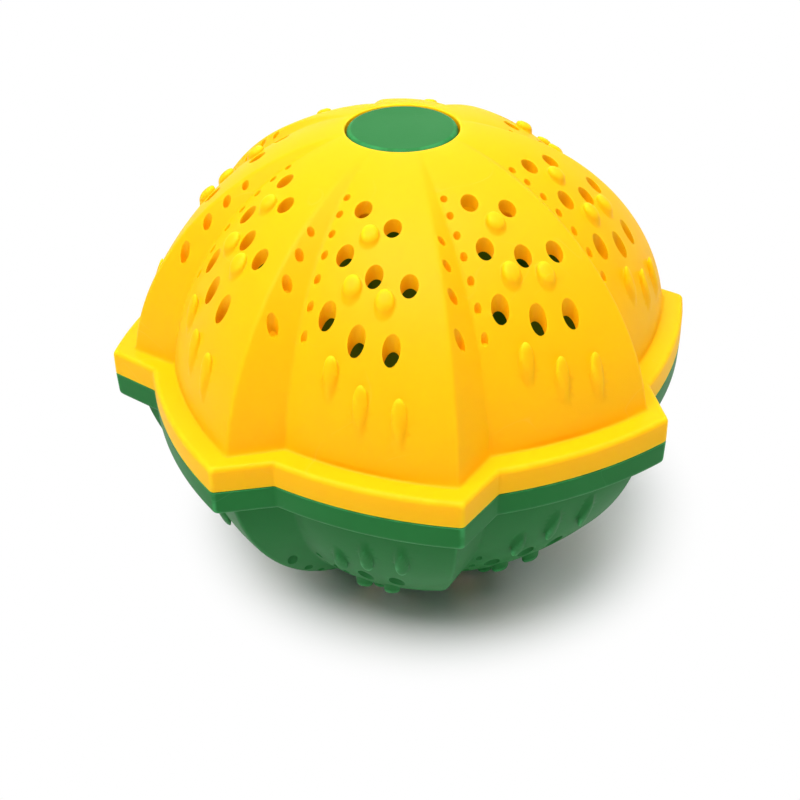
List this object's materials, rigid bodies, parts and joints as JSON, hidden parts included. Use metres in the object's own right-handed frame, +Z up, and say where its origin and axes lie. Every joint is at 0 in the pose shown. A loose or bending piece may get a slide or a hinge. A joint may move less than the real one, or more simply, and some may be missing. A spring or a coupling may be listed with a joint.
{
  "type": "laundry ball",
  "caption": "Openable washing-machine ball of two petalled, perforated plastic half shells with nubs, pole caps and loose ceramic beads inside.",
  "frame": {"origin": "centre of the lower cap's face, on which the ball stands", "axes": "+Z up through both poles, +X and +Y each through an outer corner of the saw-toothed rim"},
  "size_m": [0.104, 0.104, 0.0838],
  "materials": {
    "yellow_plastic": "satin moulded polypropylene",
    "green_plastic": "satin moulded polypropylene",
    "ferrite": "dull sintered ferrite",
    "white_ceramic": "unglazed fired ceramic",
    "grey_ceramic": "unglazed fired ceramic",
    "terracotta_ceramic": "unglazed fired ceramic",
    "brown_ceramic": "unglazed fired ceramic"
  },
  "bodies": {
    "lower_half": {"lower_shell": "green_plastic", "lower_cap": "yellow_plastic", "lower_magnet": "ferrite"},
    "upper_half": {"upper_shell": "yellow_plastic", "upper_cap": "green_plastic", "upper_magnet": "ferrite"},
    "bead_heap": {"bead_white_01": "white_ceramic", "bead_white_02": "white_ceramic", "bead_white_03": "white_ceramic", "bead_white_04": "white_ceramic", "bead_white_05": "white_ceramic", "bead_white_06": "white_ceramic", "bead_white_07": "white_ceramic", "bead_white_08": "white_ceramic", "bead_grey_01": "grey_ceramic", "bead_grey_02": "grey_ceramic", "bead_grey_03": "grey_ceramic", "bead_grey_04": "grey_ceramic", "bead_grey_05": "grey_ceramic", "bead_grey_06": "grey_ceramic", "bead_grey_07": "grey_ceramic", "bead_grey_08": "grey_ceramic", "bead_terracotta_01": "terracotta_ceramic", "bead_terracotta_02": "terracotta_ceramic", "bead_terracotta_03": "terracotta_ceramic", "bead_terracotta_04": "terracotta_ceramic", "bead_terracotta_05": "terracotta_ceramic", "bead_terracotta_06": "terracotta_ceramic", "bead_terracotta_07": "terracotta_ceramic", "bead_terracotta_08": "terracotta_ceramic", "bead_brown_01": "brown_ceramic", "bead_brown_02": "brown_ceramic", "bead_brown_03": "brown_ceramic", "bead_brown_04": "brown_ceramic", "bead_brown_05": "brown_ceramic", "bead_brown_06": "brown_ceramic", "bead_brown_07": "brown_ceramic", "bead_brown_08": "brown_ceramic"}
  },
  "joints": [
    {"name": "upper_lift", "type": "slide", "parent": "lower_half", "child": "upper_half", "axis": [0, 0, 1], "range_m": [0, 0.06]},
    {"name": "bead_rattle", "type": "slide", "parent": "lower_half", "child": "bead_heap", "axis": [0, 0, 1], "range_m": [0, 0.058]}
  ]
}
